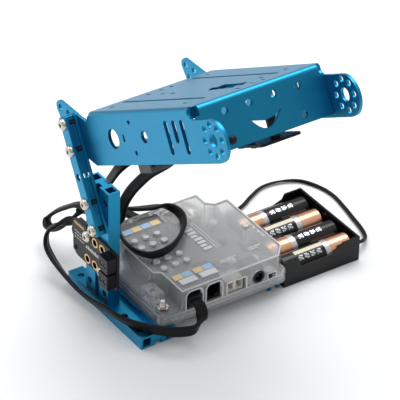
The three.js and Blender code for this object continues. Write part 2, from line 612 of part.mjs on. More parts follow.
// ---------------------------------------------------------------- battery tray
let tray = box(TRAY_X0, TRAY_X1, TRAY_Y0, TRAY_Y1, 0, TRAY_TOP);
tray = cut(tray, box(TRAY_X0 + 1.2, TRAY_X1 - 1.2, TRAY_Y0 + 1.3, TRAY_Y1 - 1.3, 1.2, TRAY_TOP + 1));
for (let i = 1; i < 4; i += 1) {
  const x = CELL_X0 + CELL_PITCH * (i - 0.5);
  tray = join(tray, plate('y', TRAY_Y0 + 1, TRAY_Y1 - 1, [[x - 2, 1], [x + 2, 1], [x + 0.3, 3.6], [x - 0.3, 3.6]]));
}
// finger cut-outs in both long walls, rounded tops on the end walls
for (const [x0, x1] of [[TRAY_X0 - 1, TRAY_X0 + 3], [TRAY_X1 - 3, TRAY_X1 + 1]]) {
  const gap = filleted([[115, 20, 0], [118, 11.2, 3], [140, 11.2, 2], [147, 13.6, 2], [150, 20, 0]], 3);
  tray = cut(tray, plate('x', x0, x1, gap));
}
tray = cut(tray, rod('y', TRAY_Y1 - 3, TRAY_Y1 + 1, TRAY_X1 - 7, 7, 1.7, 8));
add('battery_tray', tray, BLACK);

// four cells, terminals alternating
for (let i = 0; i < 4; i += 1) {
  const x = CELL_X0 + CELL_PITCH * i;
  const near = i % 2 === 0;
  const a = CELL_Y0 + (near ? 1 : 0);
  const body = rod('y', a, a + CELL_L - 1, x, CELL_Z, CELL_R, 16);
  const nub = near ? rod('y', CELL_Y0, a + 0.5, x, CELL_Z, 2.7, 10)
    : rod('y', a + CELL_L - 1.5, CELL_Y0 + CELL_L, x, CELL_Z, 2.7, 10);
  add(`cell_${i + 1}`, join(body, nub), CELL);
}
// sprung bridges that join neighbouring cells at the near end
for (let i = 0; i < 2; i += 1) {
  const x = CELL_X0 + 2 * CELL_PITCH * i;
  const y = TRAY_Y0 + 1.35;
  let bridge = box(x - 4, x + CELL_PITCH + 4, y, y + 0.3, 4.5, 12.5);
  bridge = join(bridge, rod('y', y + 0.1, CELL_Y0 - 0.1, x, CELL_Z, 2.4, 10));
  bridge = join(bridge, rod('y', y + 0.1, CELL_Y0 - 0.1, x + CELL_PITCH, CELL_Z, 3.4, 10, 2));
  add(`contact_bridge_${i + 1}`, bridge, STEEL);
}

// ---------------------------------------------------------------- cords
function cord(points, radius, steps, sides) {
  const path = new THREE.CatmullRomCurve3(points.map((p) => new THREE.Vector3(...p)), false, 'centripetal');
  const shape = new THREE.Shape(circle(0, 0, radius, sides).map(([a, b]) => new THREE.Vector2(a, b)));
  return solid(new THREE.ExtrudeGeometry(shape, { steps, extrudePath: path, bevelEnabled: false }));
}
const SENSOR_ROUTE = [
  [80.4, 38, 20.55], [84.4, 37.9, 19.6], [87.6, 37.2, 17], [89.8, 35, 14], [93.1, 28.3, 12],
  [90.3, 21.1, 11.2], [85.1, 14, 11], [77.8, 7.7, 10.9], [69, 2.3, 10.7], [58.4, -2.6, 11.6],
  [46.9, -3.4, 10.2], [33.6, -4, 7.6], [20.9, -4.4, 6.5], [8.8, -4.6, 7.6], [-2.1, -4.8, 10.2],
  [-11.2, -4.8, 13.5], [-17, -4.6, 17.7], [-19.1, -3.8, 21.9], [-19.4, -2.2, 26.3], [-16.9, 0.2, 30.3],
  [-13.5, 3.4, 32.9], [-6.4, 6.6, 38.2], [-1.7, 6.7, 38.1],
];
const LIGHT_ROUTE = [
  [83.6, 52, 135.2], [77, 51.4, 131.4], [68, 49, 127], [56, 44, 120.6], [44, 36, 112], [34, 27, 102],
  [25.5, 20.6, 91], [17.5, 19.6, 79], [10.4, 20, 68], [5, 22.4, 56.6], [2, 27, 48], [0.4, 32.6, 42.4],
  [-0.2, 40, 38.4], [0.2, 48, 35.6], [1.4, 56.4, 34], [3.5, 64.7, 33.5], [9.4, 68.7, 33.4],
  [17.3, 68.9, 33.3], [26.8, 64.4, 33.3], [35.2, 56.2, 33.3], [41.1, 47.1, 33.3], [43.5, 37.7, 33.3],
  [41.9, 30.3, 33.3], [35.6, 26, 33.3], [26.6, 24.8, 33.4], [16.8, 26.1, 33.6], [7, 30, 33.6],
  [1, 34.6, 33], [-7.6, 39.6, 31.6], [-15.6, 44.8, 28.6], [-21, 49.6, 24], [-21.6, 53, 19.8],
  [-17, 54.6, 18.8], [-12, 55, 19.8], [-6.3, 55, 20.55],
];
const AUX_ROUTE = [
  [83.4, 12.5, 131.3], [88.8, 12.6, 135.4], [94, 13.8, 142.5], [97.1, 16.8, 150.3], [97.6, 21, 155.9],
  [94.4, 25.4, 156.6], [89.9, 27.8, 151.5], [85.7, 28, 142.8], [81.3, 27, 133.6], [75.7, 25.2, 124.6],
  [68.5, 23.8, 116.2], [52.7, 23, 100.9], [44, 23, 91.1], [30.9, 23, 74.1], [23.5, 23, 60.3],
  [22, 22.8, 52.6], [17.6, 22.2, 46.6], [9, 21, 43], [-1, 19.6, 41.8], [-18.1, 18.6, 38.6],
  [-29.4, 17.4, 30.9], [-39.7, 15.6, 22.2], [-44.3, 13, 15.8], [-40.5, 10.4, 14.3], [-30.5, 8.8, 17.7],
  [-21.6, 9.4, 24.4], [-16.6, 12.4, 31.3], [-15.1, 17.4, 35.6], [-20.6, 24.6, 31.4], [-24, 31.4, 28.2],
  [-25.4, 37.4, 24], [-21.6, 41, 20.9], [-14, 41.2, 20.2], [-6.3, 41, 20.55],
];
const WIRE_ROUTE = [
  [67.1, 159.6, 7], [67, 164, 6.8], [65, 170.5, 5], [59.4, 176.6, 2.6], [50, 180.6, 1.5],
  [38, 183, 1.4], [25, 185.4, 1.4], [11, 187, 1.4], [-0.8, 185, 1.4], [-12.8, 178.6, 1.4],
  [-19, 168, 1.4], [-20, 155.4, 1.4], [-15.2, 143.6, 1.4], [-9.2, 132.6, 1.4], [-6, 121, 1.6],
  [-10.4, 110, 3.4], [-13.2, 101, 8], [-14.4, 93.6, 13], [-12, 88, 16.4], [-6, 86.1, 17.2],
  [5.8, 86, 17.2],
];
add('sensor_cable', cord(SENSOR_ROUTE, CABLE_R, 46, 8), CABLE);
add('light_cable', cord(LIGHT_ROUTE, CABLE_R, 64, 8), CABLE);
add('aux_cable', cord(AUX_ROUTE, CABLE_R, 60, 8), CABLE);
add('battery_wire', cord(WIRE_ROUTE, WIRE_R, 64, 8), CABLE);

// origin at the middle of the footprint, cords left out
const cordNames = ['sensor_cable', 'light_cable', 'aux_cable', 'battery_wire'];
const bounds = new THREE.Box3();
for (const mesh of fixed.children) {
  if (cordNames.includes(mesh.name)) continue;
  mesh.geometry.computeBoundingBox();
  bounds.union(mesh.geometry.boundingBox);
}
fixed.position.set(-(bounds.min.x + bounds.max.x) / 2, -(bounds.min.y + bounds.max.y) / 2, -bounds.min.z);

root.updateMatrixWorld(true);
export default root;
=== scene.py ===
import math

import bmesh
import bpy
from mathutils import Matrix, Vector


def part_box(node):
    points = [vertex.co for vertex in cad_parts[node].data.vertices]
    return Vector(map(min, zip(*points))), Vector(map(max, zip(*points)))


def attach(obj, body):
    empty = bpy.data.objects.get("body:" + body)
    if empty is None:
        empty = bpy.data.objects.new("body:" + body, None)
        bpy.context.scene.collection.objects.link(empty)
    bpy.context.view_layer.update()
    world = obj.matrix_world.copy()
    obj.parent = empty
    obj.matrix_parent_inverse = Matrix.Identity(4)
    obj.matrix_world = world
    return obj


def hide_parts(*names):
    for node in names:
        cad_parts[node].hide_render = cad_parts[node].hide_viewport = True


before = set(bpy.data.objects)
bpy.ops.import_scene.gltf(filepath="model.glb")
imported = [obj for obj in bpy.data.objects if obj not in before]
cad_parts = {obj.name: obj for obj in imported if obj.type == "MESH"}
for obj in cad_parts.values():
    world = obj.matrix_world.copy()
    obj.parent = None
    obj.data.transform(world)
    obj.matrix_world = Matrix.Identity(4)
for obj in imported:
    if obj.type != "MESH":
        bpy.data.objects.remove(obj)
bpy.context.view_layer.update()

# ---------------------------------------------------------------- places
MM = 0.001
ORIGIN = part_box("base_beam")[0]          # low corner of the base beam
TILT = math.radians(30)                  # the head leans back by this much
PIVOT = Vector((8, 0, 64 + 64 * math.cos(TILT)))   # the upper strut screw
KNOB_H = 1.3                             # height of the small knobs on the clear cover
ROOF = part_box("case_top")[1].z / MM - KNOB_H       # top of the clear cover, without its knobs
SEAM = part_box("case_top")[0].z / MM                # where the two halves of the case meet


def at(x, y, z):
    """A point given in millimetres from the base beam's corner."""
    return ORIGIN + Vector((x, y, z)) * MM


def leaning(s, y, n):
    """A point in the head's own axes: s along it, y across, n up from it."""
    along = Vector((math.cos(TILT), 0, math.sin(TILT)))
    up = Vector((-math.sin(TILT), 0, math.cos(TILT)))
    return at(*(PIVOT + along * s + up * n + Vector((0, y, 0))))


def spot(node):
    """Low and high corner of a node, in millimetres from the base beam's corner."""
    low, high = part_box(node)
    return (low - ORIGIN) / MM, (high - ORIGIN) / MM


# ---------------------------------------------------------------- camera
AZIMUTH = math.radians(55.6)
ELEVATION = math.radians(34.3)
ROLL = math.radians(1.3)
CAMERA_PLACE = (1305.9, -807.4, 1111.0)  # millimetres from the base beam's corner
data = bpy.data.cameras.new("camera")
data.sensor_width = 36
data.lens = 284.4
data.shift_x = 0.025
data.shift_y = -0.0122
data.clip_start = 0.1
data.clip_end = 100
camera = bpy.data.objects.new("camera", data)
bpy.context.scene.collection.objects.link(camera)
back = Vector((math.sin(AZIMUTH) * math.cos(ELEVATION), -math.cos(AZIMUTH) * math.cos(ELEVATION),
               math.sin(ELEVATION)))
right = Vector((math.cos(AZIMUTH), math.sin(AZIMUTH), 0))
up = back.cross(right)
turn = Matrix((right, up, back)).transposed().to_4x4() @ Matrix.Rotation(ROLL, 4, "Z")
camera.matrix_world = Matrix.Translation(at(*CAMERA_PLACE)) @ turn
bpy.context.scene.camera = camera


# ---------------------------------------------------------------- materials
def material(name, color, roughness, metallic=0.0, vary=0.08, grain=0.12, grain_size=0.2,
             cloud_size=6.0, rough_vary=0.06, **sockets):
    """Principled surface with cloudy colour, uneven gloss and a fine grain; sizes in millimetres."""
    mat = bpy.data.materials.new(name)
    mat.use_nodes = True
    nodes, links = mat.node_tree.nodes, mat.node_tree.links
    shader = nodes["Principled BSDF"]
    where = nodes.new("ShaderNodeTexCoord")

    def noise(size, detail):
        node = nodes.new("ShaderNodeTexNoise")
        node.inputs["Scale"].default_value = 1 / (size * MM)
        node.inputs["Detail"].default_value = detail
        links.new(where.outputs["Object"], node.inputs["Vector"])
        return node.outputs["Fac"]

    mix = nodes.new("ShaderNodeMix")
    mix.data_type = "RGBA"
    mix.inputs[6].default_value = (*[min(1, c * (1 - vary)) for c in color], 1)
    mix.inputs[7].default_value = (*[min(1, c * (1 + vary)) for c in color], 1)
    links.new(noise(cloud_size, 3), mix.inputs[0])
    links.new(mix.outputs[2], shader.inputs["Base Color"])
    gloss = nodes.new("ShaderNodeMapRange")
    gloss.inputs["To Min"].default_value = max(0.02, roughness - rough_vary)
    gloss.inputs["To Max"].default_value = roughness + rough_vary
    links.new(noise(cloud_size / 3, 4), gloss.inputs["Value"])
    links.new(gloss.outputs["Result"], shader.inputs["Roughness"])
    bump = nodes.new("ShaderNodeBump")
    bump.inputs["Strength"].default_value = grain
    bump.inputs["Distance"].default_value = grain_size * MM * 0.3
    links.new(noise(grain_size, 2), bump.inputs["Height"])
    links.new(bump.outputs["Normal"], shader.inputs["Normal"])
    shader.inputs["Metallic"].default_value = metallic
    for socket, value in sockets.items():
        shader.inputs[socket.replace("_", " ")].default_value = value
    return mat


BLUE = material("blue_anodised", (0.021, 0.268, 0.475), 0.38, 1.0, vary=0.04, grain=0.05,
                grain_size=0.18, cloud_size=14)
STEEL = material("plated_steel", (0.60, 0.57, 0.52), 0.26, 1.0, grain=0.06)
GOLD = material("gold_pads", (0.75, 0.50, 0.20), 0.30, 1.0)
BLACK = material("black_plastic", (0.010, 0.010, 0.011), 0.40, vary=0.2, grain=0.2, grain_size=0.25,
                 Specular_IOR_Level=0.22)
GLOSS_BLACK = material("gloss_black", (0.007, 0.007, 0.008), 0.20, vary=0.2, grain=0.04,
                       Specular_IOR_Level=0.22)
BOARD = material("black_board", (0.010, 0.010, 0.012), 0.38, vary=0.25, grain=0.12, cloud_size=2.5,
                 Specular_IOR_Level=0.25)
CASE_BOARD = material("case_board", (0.17, 0.175, 0.18), 0.45, vary=0.3, grain=0.1, cloud_size=9)
SILK = material("board_print", (0.55, 0.55, 0.55), 0.55)
RUBBER = material("cable_jacket", (0.007, 0.007, 0.008), 0.44, vary=0.15, grain=0.12, grain_size=0.3,
                  Specular_IOR_Level=0.16)
GREY = material("grey_plastic", (0.085, 0.09, 0.095), 0.5, grain=0.25)
WHITE = material("white_plastic", (0.72, 0.70, 0.64), 0.38, grain=0.1)
CLEAR = material("clear_plastic", (0.95, 0.955, 0.96), 0.14, vary=0.02, grain=0.0, cloud_size=24,
                 rough_vary=0.06, Transmission_Weight=0.80, IOR=1.46)
# frosted clear plastic for the relief bars, the button and the window rims; also the whiter colour of the
# painted highlight rims on the knobs and the painted highlight beads along the cover's edges
FROST_AND_HIGHLIGHT = material("frosted_relief_and_highlight", (0.90, 0.91, 0.91), 0.22, vary=0.04, grain=0.0, cloud_size=3,
                 Transmission_Weight=0.4, IOR=1.46)
DARK_STEEL = material("dark_thread", (0.045, 0.045, 0.05), 0.4, 0.9)
LENS = material("dark_lens", (0.02, 0.022, 0.03), 0.08, grain=0.0, Coat_Weight=0.6)
AMBER = material("print_amber", (0.80, 0.60, 0.33), 0.45)
SKY = material("print_sky", (0.38, 0.57, 0.80), 0.45)
PALE = material("print_pale", (0.72, 0.72, 0.74), 0.45)
COPPER = material("copper_sleeve", (0.80, 0.43, 0.27), 0.24, 1.0, vary=0.06, grain=0.04)
SILVER = material("silver_band", (0.62, 0.63, 0.65), 0.28, 0.9)
SLEEVE = material("black_sleeve", (0.010, 0.010, 0.011), 0.16, 0.0, vary=0.15, grain=0.03,
                  Specular_IOR_Level=0.35)
CREAM = material("cream_stripe", (0.72, 0.66, 0.48), 0.32)
PAPER = material("floor_paper", (0.86, 0.865, 0.87), 0.75, vary=0.01, grain=0.05, grain_size=1.0,
                 cloud_size=80)


# ---------------------------------------------------------------- mesh helpers
def piece(name, mesh_or_bm, mats, body="frame", replaces=(), smooth=35):
    """Links a mesh as a piece of the object, riding on a body."""
    if isinstance(mesh_or_bm, bmesh.types.BMesh):
        mesh = bpy.data.meshes.new(name)
        bmesh.ops.recalc_face_normals(mesh_or_bm, faces=mesh_or_bm.faces)
        mesh_or_bm.to_mesh(mesh)
        mesh_or_bm.free()
    else:
        mesh = mesh_or_bm
    for mat in mats if isinstance(mats, (list, tuple)) else [mats]:
        mesh.materials.append(mat)
    mesh.shade_smooth()
    mesh.set_sharp_from_angle(angle=math.radians(smooth))
    obj = bpy.data.objects.new(name, mesh)
    bpy.context.scene.collection.objects.link(obj)
    even = obj.modifiers.new("even_normals", "WEIGHTED_NORMAL")
    even.keep_sharp = True
    if replaces:
        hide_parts(*([replaces] if isinstance(replaces, str) else replaces))
    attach(obj, body)
    return obj


def soften(bm, width, angle=32, segments=2):
    """Rounds every edge of a bmesh that is sharper than the angle; the width is in millimetres."""
    sharp = [e for e in bm.edges if e.is_manifold and e.calc_face_angle(0) > math.radians(angle)]
    bmesh.ops.bevel(bm, geom=sharp, offset=width * MM, segments=segments, profile=0.5,
                    affect="EDGES", clamp_overlap=True)


def from_node(node):
    """The CAD node's own shape as clean faces, ready for finer work."""
    bm = bmesh.new()
    bm.from_mesh(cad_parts[node].data)
    bmesh.ops.remove_doubles(bm, verts=bm.verts, dist=1e-6)
    bmesh.ops.dissolve_limit(bm, angle_limit=math.radians(0.6), verts=bm.verts, edges=bm.edges)
    return bm


def finished(node, mat, width=0.2, body="frame", angle=32, smooth=35):
    """The node with rounded edges and its real material."""
    bm = from_node(node)
    soften(bm, width, angle)
    return piece(f"{node}_finished", bm, mat, body, node, smooth)


def block(bm, low, high, width=0.0, put=at, segments=2):
    """Adds a box between two corners in millimetres, with rounded edges."""
    corners = [[(low, high)[i][0], (low, high)[j][1], (low, high)[k][2]]
               for i in (0, 1) for j in (0, 1) for k in (0, 1)]
    verts = [bm.verts.new(put(*c)) for c in corners]
    faces = [bm.faces.new([verts[i] for i in loop]) for loop in
             ((0, 1, 3, 2), (4, 6, 7, 5), (0, 4, 5, 1), (2, 3, 7, 6), (0, 2, 6, 4), (1, 5, 7, 3))]
    if width:
        edges = list({e for f in faces for e in f.edges})
        bmesh.ops.bevel(bm, geom=edges, offset=width * MM, segments=segments, profile=0.5, affect="EDGES")


def turned(bm, profile, base, axis, segments=40, material_at=None):
    """Adds a turned solid: profile is (radius, height) pairs in millimetres from base along axis."""
    axis = Vector(axis).normalized()
    side = axis.orthogonal().normalized()
    other = axis.cross(side)
    rings = []
    for radius, height in profile:
        middle = base + axis * height * MM
        if radius < 1e-6:
            rings.append([bm.verts.new(middle)])
            continue
        rings.append([bm.verts.new(middle + (side * math.cos(t) + other * math.sin(t)) * radius * MM)
                      for t in (2 * math.pi * k / segments for k in range(segments))])
    for i in range(len(rings) - 1):
        a, b = rings[i], rings[i + 1]
        for k in range(segments):
            m = (k + 1) % segments
            loop = [a[k % len(a)], a[m % len(a)], b[m % len(b)], b[k % len(b)]]
            loop = [v for j, v in enumerate(loop) if v not in loop[:j]]
            face = bm.faces.new(loop)
            if material_at:
                face.material_index = material_at(i, k, segments)
    for ring, flip in ((rings[0], True), (rings[-1], False)):
        if len(ring) > 1:
            bm.faces.new(ring[::-1] if flip else ring)


def minus(bm, cutter):
    """bm with cutter's volume taken away, as a new bmesh."""
    objects = []
    for source in (bm, cutter):
        bmesh.ops.recalc_face_normals(source, faces=source.faces)
        mesh = bpy.data.meshes.new("work")
        source.to_mesh(mesh)
        source.free()
        objects.append(bpy.data.objects.new("work", mesh))
        bpy.context.scene.collection.objects.link(objects[-1])
    step = objects[0].modifiers.new("cut", "BOOLEAN")
    step.operation = "DIFFERENCE"
    step.solver = "EXACT"
    step.object = objects[1]
    bpy.context.view_layer.update()
    result = bmesh.new()
    result.from_mesh(bpy.data.meshes.new_from_object(
        objects[0].evaluated_get(bpy.context.evaluated_depsgraph_get())))
    for obj in objects:
        bpy.data.objects.remove(obj)
    return result


# ---------------------------------------------------------------- cords
def smooth_line(route, spacing):
    """Centripetal Catmull-Rom line through the route, with points about spacing apart."""
    points = [Vector(p) for p in route]
    points = [points[0] * 2 - points[1], *points, points[-1] * 2 - points[-2]]
    line, share = [], []
    for i in range(1, len(points) - 2):
        p = points[i - 1:i + 3]
        knots = [0.0]
        for a, b in zip(p, p[1:]):
            knots.append(knots[-1] + max((b - a).length, 1e-6) ** 0.5)
        steps = max(2, round((p[2] - p[1]).length / spacing))
        for k in range(steps):
            t = knots[1] + (knots[2] - knots[1]) * k / steps
            level = [p[j].lerp(p[j + 1], (t - knots[j]) / (knots[j + 1] - knots[j]))
                     for j in range(3)]
            level = [level[j].lerp(level[j + 1], (t - knots[j]) / (knots[j + 2] - knots[j]))
                     for j in range(2)]
            line.append(level[0].lerp(level[1], (t - knots[1]) / (knots[2] - knots[1])))
            share.append(i - 1 + k / steps)
    return line + [points[-2]], share + [len(route) - 1]


def direction_at(hints, where):
    """The width direction at a place along the route, eased between the hints."""
    keys = sorted(hints)
    if where <= keys[0]:
        return Vector(hints[keys[0]])
    for a, b in zip(keys, keys[1:]):
        if where <= b:
            t = (where - a) / (b - a)
            t = t * t * (3 - 2 * t)
            return Vector(hints[a]).normalized().lerp(Vector(hints[b]).normalized(), t)
    return Vector(hints[keys[-1]])


def swept(name, route, section, hints, spacing, replaces, mat=RUBBER):
    """Sweeps a closed section (across, thick) along the route, its width turned as the hints say."""
    line, share = smooth_line(route, spacing)
    bm = bmesh.new()
    rings = []
    for i, point in enumerate(line):
        ahead = (line[min(i + 1, len(line) - 1)] - line[max(i - 1, 0)]).normalized()
        wide = direction_at(hints, share[i])
        wide = (wide - ahead * wide.dot(ahead)).normalized()
        thick = ahead.cross(wide)
        rings.append([bm.verts.new(at(*(point + wide * a + thick * b))) for a, b in section])
    for a, b in zip(rings, rings[1:]):
        for k in range(len(section)):
            m = (k + 1) % len(section)
            bm.faces.new((a[k], a[m], b[m], b[k]))
    bm.faces.new(rings[0][::-1])
    bm.faces.new(rings[-1])
    obj = piece(name, bm, mat, "frame", replaces, 50)
    return obj, [at(*p) for p in line]


def flat_section(width, thick, ridge=0.12):
    """Rounded band with a faint ridge along each edge, as a moulded flat cable has."""
    half, r = width / 2 - thick / 2, thick / 2
    points = []
    for sign in (1, -1):
        for k in range(7):
            t = math.pi / 2 - math.pi * k / 6
            points.append((sign * (half + r * math.cos(t)), sign * (r * math.sin(t))))
        points.append((sign * (half - 0.6), -sign * r))
        points.append((sign * (half - 0.9), -sign * (r - ridge)))
        points.append((-sign * (half - 0.9), -sign * (r - ridge)))
        points.append((-sign * (half - 0.6), -sign * r))
    return points


def twin_section(radius, sides=10):
    """Two round wires side by side, joined by a thin web."""
    points = []
    for sign in (1, -1):
        for k in range(sides):
            t = math.pi * 0.86 - math.pi * 1.72 * k / (sides - 1)
            points.append((sign * (radius + radius * math.cos(t)), sign * radius * math.sin(t)))
    return points


CABLE_WIDTH = 7.0
CABLE_THICK = 2.4
CABLE_STEP = 1.2                         # distance between the cross-sections of a flat cable
WIRE_R = 0.65                            # radius of each of the battery wire's two strands
WIRE_STEP = 1.0
SENSOR_ROUTE = [
    [80.4, 38, 20.55], [84.4, 37.9, 19.6], [87.6, 37.2, 17], [89.8, 35, 14], [93.1, 28.3, 12],
    [90.3, 21.1, 11.2], [85.1, 14, 11], [77.8, 7.7, 10.9], [69, 2.3, 10.7], [58.4, -2.6, 11.6],
    [46.9, -3.4, 10.2], [33.6, -4, 7.6], [20.9, -4.4, 6.5], [8.8, -4.6, 7.6], [-2.1, -4.8, 10.2],
    [-11.2, -4.8, 13.5], [-17, -4.6, 17.7], [-19.1, -3.8, 21.9], [-19.4, -2.2, 26.3], [-16.9, 0.2, 30.3],
    [-13.5, 3.4, 32.9], [-6.4, 6.6, 38.2], [-1.7, 6.7, 38.1],
]
LIGHT_ROUTE = [
    [83.6, 52, 135.2], [77, 51.4, 131.4], [68, 49, 127], [56, 44, 120.6], [44, 36, 112], [34, 27, 102],
    [25.5, 20.6, 91], [17.5, 19.6, 79], [10.4, 20, 68], [5, 22.4, 56.6], [2, 27, 48], [0.4, 32.6, 42.4],
    [-0.2, 40, 38.4], [0.2, 48, 35.6], [1.4, 56.4, 34], [3.5, 64.7, 33.5], [9.4, 68.7, 33.4],
    [17.3, 68.9, 33.3], [26.8, 64.4, 33.3], [35.2, 56.2, 33.3], [41.1, 47.1, 33.3], [43.5, 37.7, 33.3],
    [41.9, 30.3, 33.3], [35.6, 26, 33.3], [26.6, 24.8, 33.4], [16.8, 26.1, 33.6], [7, 30, 33.6],
    [1, 34.6, 33], [-7.6, 39.6, 31.6], [-15.6, 44.8, 28.6], [-21, 49.6, 24], [-21.6, 53, 19.8],
    [-17, 54.6, 18.8], [-12, 55, 19.8], [-6.3, 55, 20.55],
]
AUX_ROUTE = [
    [83.4, 12.5, 131.3], [88.8, 12.6, 135.4], [94, 13.8, 142.5], [97.1, 16.8, 150.3], [97.6, 21, 155.9],
    [94.4, 25.4, 156.6], [89.9, 27.8, 151.5], [85.7, 28, 142.8], [81.3, 27, 133.6], [75.7, 25.2, 124.6],
    [68.5, 23.8, 116.2], [52.7, 23, 100.9], [44, 23, 91.1], [30.9, 23, 74.1], [23.5, 23, 60.3],
    [22, 22.8, 52.6], [17.6, 22.2, 46.6], [9, 21, 43], [-1, 19.6, 41.8], [-18.1, 18.6, 38.6],
    [-29.4, 17.4, 30.9], [-39.7, 15.6, 22.2], [-44.3, 13, 15.8], [-40.5, 10.4, 14.3], [-30.5, 8.8, 17.7],
    [-21.6, 9.4, 24.4], [-16.6, 12.4, 31.3], [-15.1, 17.4, 35.6], [-20.6, 24.6, 31.4], [-24, 31.4, 28.2],
    [-25.4, 37.4, 24], [-21.6, 41, 20.9], [-14, 41.2, 20.2], [-6.3, 41, 20.55],
]
WIRE_ROUTE = [
    [67.1, 159.6, 7], [67, 164, 6.8], [65, 170.5, 5], [59.4, 176.6, 2.6], [50, 180.6, 1.5],
    [38, 183, 1.4], [25, 185.4, 1.4], [11, 187, 1.4], [-0.8, 185, 1.4], [-12.8, 178.6, 1.4],
    [-19, 168, 1.4], [-20, 155.4, 1.4], [-15.2, 143.6, 1.4], [-9.2, 132.6, 1.4], [-6, 121, 1.6],
    [-10.4, 110, 3.4], [-13.2, 101, 8], [-14.4, 93.6, 13], [-12, 88, 16.4], [-6, 86.1, 17.2],
    [5.8, 86, 17.2],
]
# width direction of each flat cable at some of its route's points
SENSOR_TWIST = {
    0: (0, 1, 0), 2: (0.1, 0.9, 0.4), 4: (0.1, 0.3, 0.95), 7: (0, -0.2, 0.97), 9: (-0.1, -0.5, 0.85),
    13: (0, -0.6, 0.8), 16: (0.6, -0.7, 0.3), 19: (0.7, -0.5, 0.3), 21: (0.2, -0.2, 1), 22: (0, 0, 1),
}
LIGHT_TWIST = {
    0: (0, 1, 0), 3: (-0.5, 0.35, 0.7), 5: (-0.6, 0.1, 0.78), 8: (-0.6, 0.3, 0.5), 11: (0.8, 0.5, 0.4),
    14: (0.9, -0.2, 0.3), 16: (0.6, 0.1, 0.8), 18: (0.25, 0.25, 0.93), 20: (0.3, 0.1, 0.95),
    23: (0.3, -0.5, 0.8), 26: (0.3, -0.5, 0.8), 29: (0, 0.6, 0.8), 31: (0, 1, 0), 34: (0, 1, 0),
}
AUX_TWIST = {
    0: (0, 1, 0), 2: (0.2, 0.9, -0.2), 4: (0.9, 0.2, -0.3), 6: (0.8, 0.5, 0), 8: (0, 1, 0.2),
    10: (-0.7, 0.1, 0.6), 14: (-0.73, -0.2, 0.4), 17: (0, 0.4, 0.9), 19: (-0.3, 0.9, -0.1),
    21: (-0.5, 0.8, -0.2), 26: (-0.5, 0.8, -0.2), 28: (-1, 0.1, -0.2), 30: (-0.6, 0.6, -0.5),
    32: (0, 1, 0),
}


def cable(name, route, twist, node):
    """A flat six-way cable swept along its route."""
    obj, line = swept(name, route, flat_section(CABLE_WIDTH, CABLE_THICK), twist, CABLE_STEP,
                      node)


def battery_wire():
    """The twin wire from the battery tray, round behind the case and into its socket."""
    turns = {0: (1, 0, 0), 2: (1, 0, 0), 4: (0.5, 0.7, 0.2), 8: (0, 0.3, 1), 11: (1, 0, 0.3), 14: (1, 0, 0),
             17: (0, 0, 1), 20: (0, 0, 1)}
    obj, line = swept("battery_lead", WIRE_ROUTE, twin_section(WIRE_R), turns, WIRE_STEP,
                      "battery_wire")


plug_names = ["plug_sensor_case", "plug_sensor_board", "plug_aux_case", "plug_aux_board",
              "plug_light_case", "plug_light_board"]
plugs = {name: finished(name, BLACK, 0.4) for name in plug_names}
cable("sensor_lead", SENSOR_ROUTE, SENSOR_TWIST, "sensor_cable")
cable("light_lead", LIGHT_ROUTE, LIGHT_TWIST, "light_cable")
cable("aux_lead", AUX_ROUTE, AUX_TWIST, "aux_cable")
battery_wire()

# ---------------------------------------------------------------- blue metal
for node in ("base_beam", "support_beam", "post_beam", "strut_beam"):
    finished(node, BLUE, 0.25)
finished("head_shell", BLUE, 0.28, angle=36)


# ---------------------------------------------------------------- screws and nuts
HEAD_R = 3.7
HEAD_H = 2.3
RIM_H = 0.45                             # upright rim of a button head, below its dome
CROWN_R = 1.9                            # flat middle of a button head
SOCKET_R = 1.35
SOCKET_FLOOR = 0.9
CASE_HEAD_R = 2.35
CASE_HEAD_H = 2.3
THREAD_R = 1.95
PITCH = 0.7


def thread(length, start=0.0):
    """Profile of a threaded shank as turned rings, from start to start + length."""
    profile = [(0, start), (THREAD_R - 0.25, start)]
    turns = int(length / PITCH)
    for k in range(turns):
        profile.append((THREAD_R, start + (k + 0.5) * PITCH))
        profile.append((THREAD_R - 0.25, start + (k + 1) * PITCH))
    return profile + [(THREAD_R - 0.5, start + length), (0, start + length)]


def button_screw(name, seat, length):
    """Button-head screw along +Y with a six-sided socket; seat is the point under its head."""
    bm = bmesh.new()
    profile = [(0, 0), (HEAD_R - 0.1, 0), (HEAD_R, 0.12), (HEAD_R, RIM_H)]
    for k in range(1, 7):
        t = math.radians(15 * k)
        profile.append((CROWN_R + (HEAD_R - CROWN_R) * math.cos(t),
                        RIM_H + (HEAD_H - RIM_H) * math.sin(t)))
    turned(bm, profile + [(0, HEAD_H)], seat, (0, -1, 0), 48)
    tool = bmesh.new()
    turned(tool, [(SOCKET_R, 0), (SOCKET_R, HEAD_H)], seat + Vector((0, -SOCKET_FLOOR, 0)) * MM,
           (0, -1, 0), 6)
    bm = minus(bm, tool)
    piece(f"{name}_head", bm, STEEL, "frame", name, 30)
    bm = bmesh.new()
    turned(bm, thread(length - 0.05, 0.05), seat, (0, 1, 0), 24)
    piece(f"{name}_thread", bm, DARK_STEEL, "frame", (), 30)


